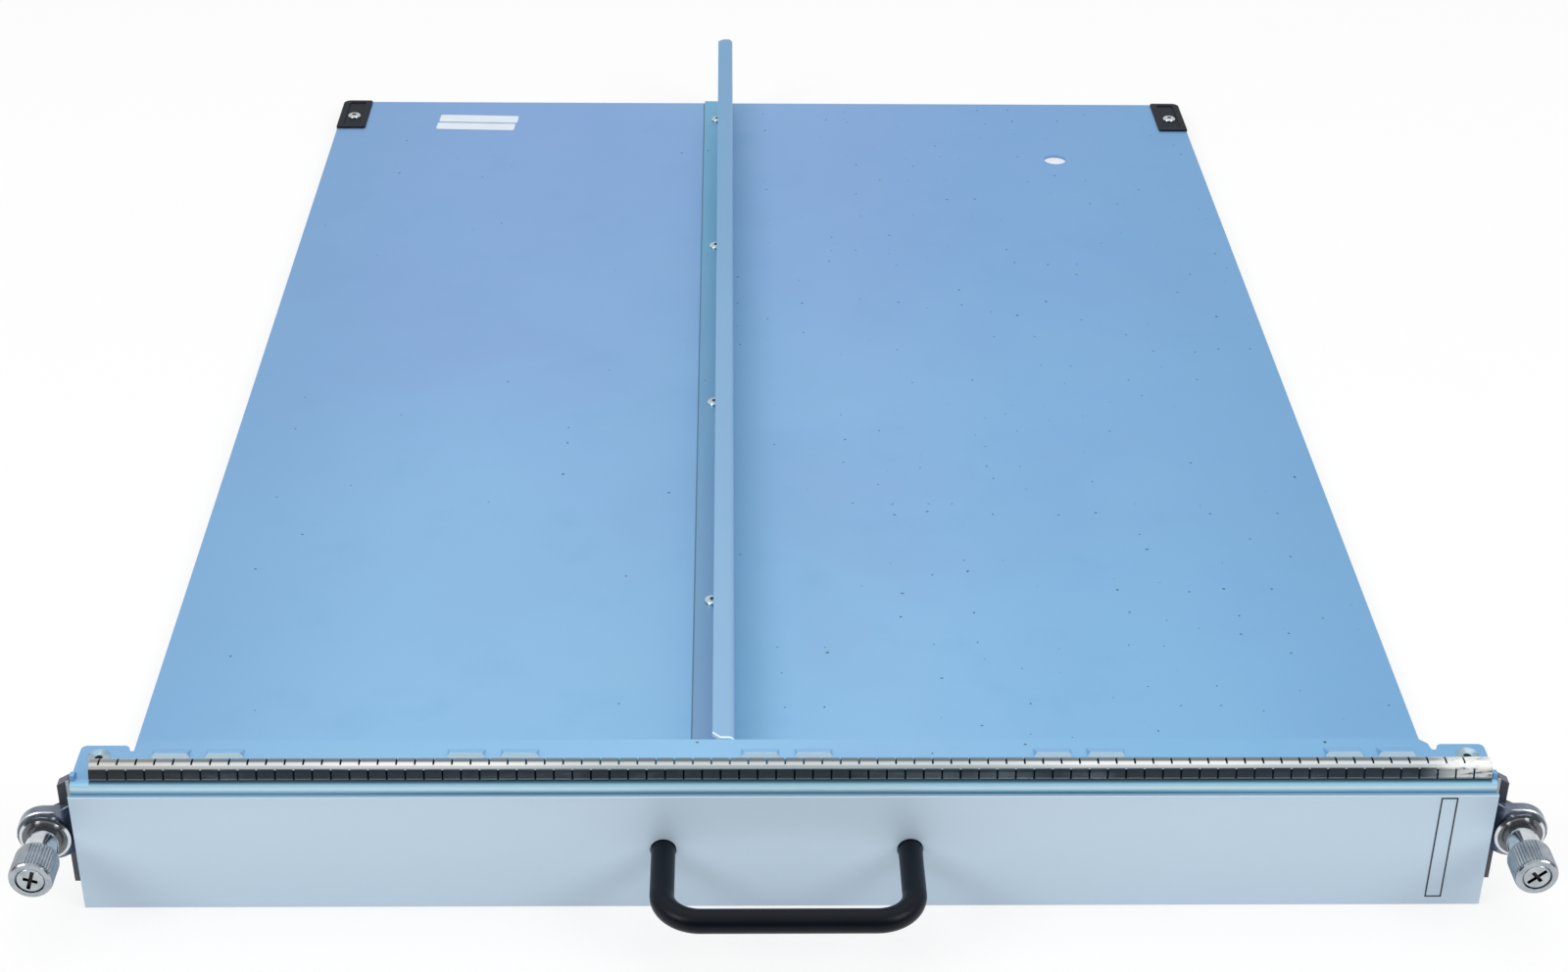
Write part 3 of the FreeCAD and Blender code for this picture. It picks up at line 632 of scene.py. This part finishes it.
def spring_strip():
    """Bright strip with painted shade in the middle and on its curved edges, a painted highlight
    on the fingers' lower edge, tarnished at the left end, worn at the right end.
    """
    strip = Finish("spring_strip")
    along, depth, height = strip.axes(strip.place)
    smudge = strip.noise(strip.stretched(40.0, 120.0, 120.0), detail=4.0, roughness=0.6)
    scuffs = strip.noise(strip.stretched(300.0, 900.0, 900.0), detail=3.0, roughness=0.7)
    worn = strip.ease(along, *WORN) * strip.ease(scuffs, 0.25, 0.55)
    # masks of the curved front and the lower edge, for painted shade and a painted highlight
    front = 1 - strip.ease(depth, *FINGER_FRONT)
    tip = (height < TIP_TOP) * front
    ends = strip.ease(along * along, *DIM_ENDS) * DIM_AGAIN
    dim = 1 - strip.ease(along * along, *DIM_MIDDLE) * (1 - ends)
    base = strip.blend(smudge, (0.58, 0.60, 0.60), (0.77, 0.79, 0.78))
    # painted shade: a dimmer middle, a darker curved front, a dark line behind the crown
    base = strip.tint(base, (0.38, 0.43, 0.45), dim, most=0.75)
    base = strip.tint(base, (0.33, 0.45, 0.54), front, most=0.9)
    base = strip.tint(base, (0.14, 0.18, 0.21), strip.ease(depth, *CROWN_REAR), most=0.9)
    base = strip.tint(base, (0.46, 0.43, 0.39), 1 - strip.ease(along, *TARNISHED), most=0.5)
    base = strip.tint(base, (0.92, 0.92, 0.89), worn)
    # painted highlight along the fingers' lower edge
    strip.set("Base Color", strip.tint(base, (0.30, 0.42, 0.48), tip))
    strip.set("Metallic", 1.0 - worn * 0.65 - tip * 0.3)
    strip.set("Roughness", 0.16 + strip.ease(smudge, 0.45, 0.75) * 0.14 + worn * 0.3)
    strip.bump(scuffs, distance=0.00002, strength=0.3)
    return strip


spring_metal = spring_strip()
dress(spring_metal, "finger_gasket")

# %% [markdown]
# The handle is a steel bar with a fine black coat, and the corner guides are moulded in
# black plastic. Both are dark, so what tells them apart is how they shine: the coat is
# satin with a fine grain, and the plastic is duller and bluer.

# %% Black coat and black plastic
def black_coat():
    """Satin black coat with the fine grain of baked powder."""
    coat = Finish("black_coat", {"Specular IOR Level": 0.17})
    grain = coat.noise(coat.place, scale=2600.0, detail=2.0)
    cloud = coat.noise(coat.place, scale=60.0, detail=2.0)
    coat.set("Base Color", coat.blend(cloud, tone(5, 11, 20), tone(9, 16, 27)))
    coat.set("Roughness", cloud.about(0.36, spread=0.10))
    coat.bump(grain, distance=0.00003, strength=0.35)
    return coat


def black_plastic():
    """Moulded plastic with a faint texture."""
    plastic = Finish("black_plastic", {"Specular IOR Level": 0.15})
    grain = plastic.noise(plastic.place, scale=1800.0)
    cloud = plastic.noise(plastic.place, scale=150.0, detail=2.0)
    plastic.set("Base Color", plastic.blend(cloud, tone(8, 15, 25), tone(15, 24, 36)))
    plastic.set("Roughness", grain.about(0.52, spread=0.2))
    plastic.bump(grain, distance=0.00004, strength=0.4)
    return plastic


dress(black_coat(), "pull_handle")
dress(black_plastic(), "left_corner_guide", "right_corner_guide")

# %% [markdown]
# The brackets, rivets and thumbscrews are plated or turned steel, from a nearly black recess,
# painted dark for its shade and dirt, to rings that are almost chrome. One function makes them
# all, since only the tones, the polish and the fineness of the marks differ. Some pieces are
# also painted darker in one place, such as the dished face of a ring, where it is painted
# shade, and each ear has a painted highlight along an edge. Both are masks.

# %% Darkened places and painted highlights on the steel
# darkened places: painted shade on the ring faces and rivet pits, and the darker bracket plate
DARKENED_STEEL = (0.05, 0.05, 0.06)
# painted highlight along each ear's front edge
EDGE_HIGHLIGHT = (0.66, 0.72, 0.76)
PLATE_FRONT = -0.25185        # the bracket's plate starts here, behind its ear
EAR_FRONT = -0.25496
EAR_STEP = (0.1855, 0.1890)   # the ear steps forward between these distances from the middle
EAR_RADIUS = 0.0076
EAR_EDGE = 0.0003
RING_FRONT = -0.25640
RING_FACE = 0.0059            # radius of the dished face within the ring's rim
RIVET_PIT = 0.0011
ring_low, ring_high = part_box("right_screw_retainer")
rivets_low, rivets_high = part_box("flange_rivets")
screw_axis = (ring_low + ring_high) / 2


def plate_face(metal):
    """Mask of the bracket's plate, behind the ear, which is painted darker."""
    _, depth, _ = metal.axes(metal.place)
    return depth > PLATE_FRONT


def ear_edge(metal):
    """Mask of a painted highlight along the ear's upper front edge."""
    across, depth, height = metal.axes(metal.place)
    outwards = abs(across)
    beyond = outwards.math("MAXIMUM", outwards - screw_axis.x, 0.0)
    above = height - screw_axis.z
    front = EAR_FRONT + (1 - metal.ease(outwards, *EAR_STEP)) * (PLATE_FRONT - EAR_FRONT)
    rim = beyond * beyond + above * above > (EAR_RADIUS - EAR_EDGE) ** 2
    return rim * (above > 0) * (depth < front + EAR_EDGE) * (outwards > EAR_STEP[0] - EAR_EDGE)


def ring_face(metal):
    """Mask of the painted shade on the dished face round each barrel."""
    across, depth, height = metal.axes(metal.place)
    aside = abs(across) - screw_axis.x
    above = height - screw_axis.z
    return (depth > RING_FRONT) * (aside * aside + above * above < RING_FACE ** 2)


def rivet_pit(metal):
    """Mask of the painted shade in the pit in the middle of each flush rivet."""
    across, depth, _ = metal.axes(metal.place)
    size = rivets_high - rivets_low
    middle = (rivets_low + rivets_high) / 2
    aside = abs(across - middle.x) - (size.x - size.y) / 2
    behind = depth - middle.y
    return aside * aside + behind * behind < RIVET_PIT ** 2


print("screws turn at", round(screw_axis.x, 4), "from the middle")


# %% Bracket, rivet and turned steel
def steel(name, dark, pale, polish, streak, darkened_place=None, metallic=1.0, bright=None):
    """Plated steel: smudges between two tones, and fine marks, so many per metre."""
    metal = Finish(name, {"Metallic": metallic})
    smudge = metal.noise(metal.place, scale=260.0, detail=4.0, roughness=0.6)
    marks = metal.noise(metal.stretched(streak, 4 * streak, streak), roughness=0.6)
    base = metal.blend(metal.ease(smudge, 0.3, 0.7), dark, pale)
    # a darkened place from a mask, such as the painted shade on a ring's face
    if darkened_place:
        share = darkened_place(metal)
        base = metal.tint(base, DARKENED_STEEL, share, most=0.8)
        metal.set("Metallic", metallic - share * 0.4)
    # painted highlight along an edge
    if bright:
        base = metal.tint(base, EDGE_HIGHLIGHT, bright(metal))
    metal.set("Base Color", base)
    metal.set("Roughness", marks.about(smudge.about(polish, spread=0.12), spread=0.06))
    metal.bump(marks, distance=0.00002, strength=0.2)
    return metal


RIVET = {"polish": 0.20, "streak": 700.0}
bracket_steel = steel(
    "bracket_steel", (0.13, 0.15, 0.195), (0.20, 0.23, 0.295), polish=0.26, streak=500.0,
    darkened_place=plate_face, metallic=0.5, bright=ear_edge,
)
rivet_steel = steel("rivet_steel", (0.17, 0.21, 0.25), (0.32, 0.38, 0.44), **RIVET)
dome_steel = steel("dome_steel", (0.36, 0.48, 0.55), (0.62, 0.76, 0.82), **RIVET)
flush_steel = steel(
    "flush_steel", (0.26, 0.40, 0.49), (0.42, 0.57, 0.65), darkened_place=rivet_pit, **RIVET
)
dress(bracket_steel, "left_ear_bracket", "right_ear_bracket")
dress(rivet_steel, "foot_rivets", "handle_screws")
dress(dome_steel, "baffle_rivets")
dress(flush_steel, "flange_rivets")

# %% Steel of the thumbscrews
TURNED = 900.0                # fine marks of the lathe, per metre
screw_steel = steel("screw_steel", (0.36, 0.40, 0.43), (0.52, 0.57, 0.60), 0.18, TURNED)
turned_steel = steel("turned_steel", (0.50, 0.54, 0.57), (0.66, 0.70, 0.73), 0.16, TURNED)
ring_steel = steel("ring_steel", (0.58, 0.62, 0.65), (0.74, 0.78, 0.81), 0.14, TURNED, ring_face)
knurled_steel = steel("knurled_steel", (0.34, 0.37, 0.41), (0.46, 0.50, 0.54), 0.22, TURNED)
# nearly black: painted shade and dirt in the screw's recess
recess_steel = steel("recess_steel", (0.02, 0.02, 0.02), (0.04, 0.04, 0.05), 0.40, TURNED)
dress(turned_steel, "guide_rivets")
dress(ring_steel, "left_screw_retainer", "right_screw_retainer")
dress(knurled_steel, "left_screw_knob", "right_screw_knob")

# %% [markdown]
# The pieces that follow are new meshes. Each is shaped as a bmesh, in its place on the filler,
# and then ends in the same way: its faces are turned outwards, it becomes an object at the
# origin, it gets its finish, and it is told which body it rides on.

# %% A mesh becomes a piece
SIDES = ("left", "right")


def finished_piece(name, shape, finish, body):
    """Makes an object from a bmesh, gives it its finish and lets it ride on a body."""
    bmesh.ops.recalc_face_normals(shape, faces=shape.faces)
    mesh = bpy.data.meshes.new(name)
    shape.to_mesh(mesh)
    shape.free()
    mesh.materials.append(finish.material)
    piece = bpy.data.objects.new(name, mesh)
    scene.collection.objects.link(piece)
    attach(piece, body)
    print(name, len(mesh.polygons), "faces on", body)
    return piece


def close_ends(shape):
    """Fills every open rim, and returns the new faces."""
    rims = [edge for edge in shape.edges if edge.is_boundary]
    return bmesh.ops.holes_fill(shape, edges=rims, sides=0)["faces"]


# %% [markdown]
# Each thumbscrew has a coil spring inside its barrel, which shortens when the screw is
# pushed in. The imported spring can only move as one rigid coil, so a new coil takes its
# place: it stays with the frame.
# A ring of wire, spun round the axis and moved a little at each step, draws the coil.

# %% Coil springs
WIRE_RADIUS = 0.00035
WIRE_CORNERS = 10
COIL_TURNS = 5
COIL_STEPS = 28               # per turn


def coil_spring(side):
    """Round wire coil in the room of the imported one."""
    low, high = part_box(side + "_screw_spring")
    centre = (low + high) / 2
    mean = (high.x - low.x) / 2 - WIRE_RADIUS
    steps = COIL_TURNS * COIL_STEPS
    rise = (high.y - low.y - 2 * WIRE_RADIUS) / steps
    shape = bmesh.new()
    bmesh.ops.create_circle(shape, segments=WIRE_CORNERS, radius=WIRE_RADIUS)
    start = Matrix.Translation((centre.x + mean, low.y + WIRE_RADIUS, centre.z))
    bmesh.ops.transform(shape, matrix=start, verts=shape.verts)
    bmesh.ops.spin(
        shape, geom=shape.verts[:] + shape.edges[:], cent=centre, axis=(0, 1, 0),
        dvec=(0, rise, 0), angle=COIL_TURNS * 2 * math.pi, steps=steps,
    )
    close_ends(shape)
    spring = finished_piece(side + "_coil", shape, spring_metal, "filler_frame")
    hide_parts(side + "_screw_spring")
    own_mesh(spring)


for side in SIDES:
    coil_spring(side)

# %% [markdown]
# The captive screw has a flat head with a slot and cross recess, a thin shank, and a thread
# that keeps it from falling out. Its outline is spun round the axis, the open face of the
# head is filled round the recess, and the thread is a second spin that climbs as it turns.

# %% A turned outline
ROUND_STEPS = 48
SAME_POINT = 1e-6


def spun_outline(points):
    """Surface spun round the Y axis from (radius, y) points."""
    shape = bmesh.new()
    chain = [shape.verts.new((radius, y, 0)) for radius, y in points]
    edges = [shape.edges.new(pair) for pair in zip(chain, chain[1:])]
    bmesh.ops.spin(
        shape, geom=chain + edges, cent=(0, 0, 0), axis=(0, 1, 0),
        angle=2 * math.pi, steps=ROUND_STEPS, use_merge=True,
    )
    bmesh.ops.remove_doubles(shape, verts=shape.verts, dist=SAME_POINT)
    return shape


# %% Slot and cross recess
RECESS_WIDE = 0.0010
RECESS_DEEP = 0.0007
SLOT_LONG = 0.0058
CROSS_LONG = 0.0038


def cut_recess(shape, y, turn):
    """Closes the head's open face round a slot and cross recess, and sinks the recess."""
    rim = [edge for edge in shape.edges if edge.is_boundary]
    half, long, cross = RECESS_WIDE / 2, SLOT_LONG / 2, CROSS_LONG / 2
    one_side = [(long, -half), (long, half), (half, half)]
    one_side += [(half, cross), (-half, cross), (-half, half)]
    outline = one_side + [(-x, -z) for x, z in one_side]
    corners = [shape.verts.new((x, y, z)) for x, z in outline]
    loop = [shape.edges.new((a, b)) for a, b in zip(corners, corners[1:] + corners[:1])]
    bmesh.ops.rotate(shape, verts=corners, cent=(0, y, 0), matrix=Matrix.Rotation(turn, 3, "Y"))
    bmesh.ops.triangle_fill(shape, use_beauty=True, edges=rim + loop, normal=(0, -1, 0))
    walls = bmesh.ops.extrude_edge_only(shape, edges=loop)["geom"]
    floor = [item for item in walls if isinstance(item, bmesh.types.BMVert)]
    bmesh.ops.translate(shape, verts=floor, vec=(0, RECESS_DEEP, 0))
    inside = close_ends(shape) + [item for item in walls if isinstance(item, bmesh.types.BMFace)]
    # the recess takes the second, nearly black finish: painted shade and dirt
    for face in inside:
        face.material_index = 1


# %% A climbing thread
CORE_RADIUS = 0.00196
THREAD_RADIUS = 0.0024
THREAD_PITCH = 0.0008
THREAD_FLANK = 0.42           # share of the pitch that each flank takes
THREAD_SUNK = 0.00006         # the ridge starts this far inside the core
THREAD_STEPS = 24             # per turn


def add_thread(shape, start, end):
    """Ridge that climbs round the core, sunk a little into it."""
    half = THREAD_PITCH * THREAD_FLANK
    inner = CORE_RADIUS - THREAD_SUNK
    turns = (end - start - 2 * half) / THREAD_PITCH
    steps = round(turns * THREAD_STEPS)
    corners = [(inner, start), (THREAD_RADIUS, start + half), (inner, start + 2 * half)]
    ring = [shape.verts.new((radius, y, 0)) for radius, y in corners]
    edges = [shape.edges.new((ring[i - 1], ring[i])) for i in range(3)]
    bmesh.ops.spin(
        shape, geom=ring + edges, cent=(0, 0, 0), axis=(0, 1, 0),
        dvec=(0, turns * THREAD_PITCH / steps, 0), angle=turns * 2 * math.pi, steps=steps,
    )
    close_ends(shape)


# %% Captive screws
HEAD_RADIUS = 0.00365
HEAD_EDGE = 0.00025
HEAD_HIGH = 0.0011
SHANK_RADIUS = 0.0018
THREAD_LONG = 0.0052
RECESS_TURN = {"left": math.radians(-72), "right": math.radians(-42)}


def captive_screw(side):
    """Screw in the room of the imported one, with its recess and thread."""
    low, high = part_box(side + "_captive_screw")
    front, tip = low.y, high.y
    seat = front + HEAD_HIGH
    thread = tip - THREAD_LONG
    outline = [
        (HEAD_RADIUS - HEAD_EDGE, front),
        (HEAD_RADIUS, front + HEAD_EDGE),
        (HEAD_RADIUS, seat),
        (SHANK_RADIUS, seat),
        (SHANK_RADIUS, thread),
        (CORE_RADIUS, thread + HEAD_EDGE),
        (CORE_RADIUS, tip - HEAD_EDGE),
        (CORE_RADIUS - 2 * HEAD_EDGE, tip),
        (0, tip),
    ]
    shape = spun_outline(outline)
    cut_recess(shape, front, RECESS_TURN[side])
    add_thread(shape, thread + HEAD_EDGE, tip - HEAD_EDGE)
    axis_place = ((low.x + high.x) / 2, 0, (low.z + high.z) / 2)
    bmesh.ops.translate(shape, verts=shape.verts, vec=axis_place)
    body = side + "_thumbscrew"
    screw = finished_piece(side + "_screw", shape, screw_steel, body)
    screw.data.materials.append(recess_steel.material)
    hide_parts(side + "_captive_screw")


for side in SIDES:
    captive_screw(side)

# %% [markdown]
# Two blank paper labels lie near the tray's left rear corner, turned a little. A label could
# be a patch of colour in the tray's finish, but a quad with rounded corners and the thickness
# of paper also has an edge that throws a fine shadow.

# %% Flat shapes
def quad(width, height):
    """Level quad round the origin."""
    shape = bmesh.new()
    bmesh.ops.create_grid(shape, x_segments=1, y_segments=1, size=0.5)
    bmesh.ops.scale(shape, verts=shape.verts, vec=(width, height, 1))
    return shape


def thicken(shape, distance):
    """Gives a flat shape a thickness above itself."""
    made = bmesh.ops.extrude_face_region(shape, geom=shape.faces[:])["geom"]
    upper = [item for item in made if isinstance(item, bmesh.types.BMVert)]
    bmesh.ops.translate(shape, verts=upper, vec=(0, 0, distance))


# %% Paper labels
PAPER = 0.00012
LABEL_CORNER = 0.0008
LABEL_TURN = math.radians(-2.2)
LABELS = {
    "upper_label": {"place": (-0.1240, 0.2684), "width": 0.0340, "height": 0.0075},
    "lower_label": {"place": (-0.12475, 0.2600), "width": 0.0337, "height": 0.0070},
}


def paper_finish():
    """White paper with a faint fibre and pale clouds."""
    paper = Finish("label_paper", {"Roughness": 0.62})
    fibre = paper.noise(paper.place, scale=1600.0)
    cloud = paper.noise(paper.place, scale=180.0, detail=2.0)
    paper.set("Base Color", paper.blend(cloud, tone(210, 222, 231), tone(228, 236, 242)))
    paper.bump(fibre, distance=0.00002, strength=0.3)
    return paper


def paper_label(name, finish, place, width, height):
    """Label on the tray's upper face, which is where the baffle's foot starts."""
    shape = quad(width, height)
    bmesh.ops.bevel(
        shape, geom=shape.verts[:], offset=LABEL_CORNER, segments=4, profile=0.5,
        affect="VERTICES", material=-1,
    )
    thicken(shape, PAPER)
    spot = Matrix.Translation((*place, baffle_low.z)) @ Matrix.Rotation(LABEL_TURN, 4, "Z")
    bmesh.ops.transform(shape, matrix=spot, verts=shape.verts)
    finished_piece(name, shape, finish, "filler_frame")


paper = paper_finish()
for name, sizes in LABELS.items():
    paper_label(name, paper, **sizes)

# %% [markdown]
# A thin printed frame marks an empty field at the panel's right end. It is a quad that is
# inset, so that a narrow border is left when its middle is taken out. The border has the
# thickness of ink, which keeps it clear of the panel's face.

# %% Printed frame on the panel
FIELD_LEFT, FIELD_RIGHT = 0.1699, 0.17435
FIELD_LOW, FIELD_HIGH = 0.0027, 0.0357
FIELD_LINE = 0.00038
INK = 0.00008


def ink_finish():
    """Black ink, slightly uneven."""
    ink = Finish("printed_ink", {"Roughness": 0.5})
    cloud = ink.noise(ink.place, scale=900.0)
    ink.set("Base Color", ink.blend(cloud, tone(20, 26, 32), tone(36, 43, 51)))
    return ink


def printed_frame():
    """Upright border on the panel's face."""
    shape = quad(FIELD_RIGHT - FIELD_LEFT, FIELD_HIGH - FIELD_LOW)
    middle = shape.faces[:]
    bmesh.ops.inset_individual(shape, faces=middle, thickness=FIELD_LINE, use_even_offset=True)
    bmesh.ops.delete(shape, geom=middle, context="FACES")
    thicken(shape, INK)
    centre = ((FIELD_LEFT + FIELD_RIGHT) / 2, panel_low.y, (FIELD_LOW + FIELD_HIGH) / 2)
    spot = Matrix.Translation(centre) @ Matrix.Rotation(math.pi / 2, 4, "X")
    bmesh.ops.transform(shape, matrix=spot, verts=shape.verts)
    finished_piece("panel_field", shape, ink_finish(), "filler_frame")


printed_frame()

# %% Sizes and finish
scene.view_settings.view_transform = "Standard"
low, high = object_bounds()
sizes = {"cad": [list(cad_low), list(cad_high)], "visual": [list(low), list(high)]}
print("visual box:", [round(side, 4) for side in high - low])
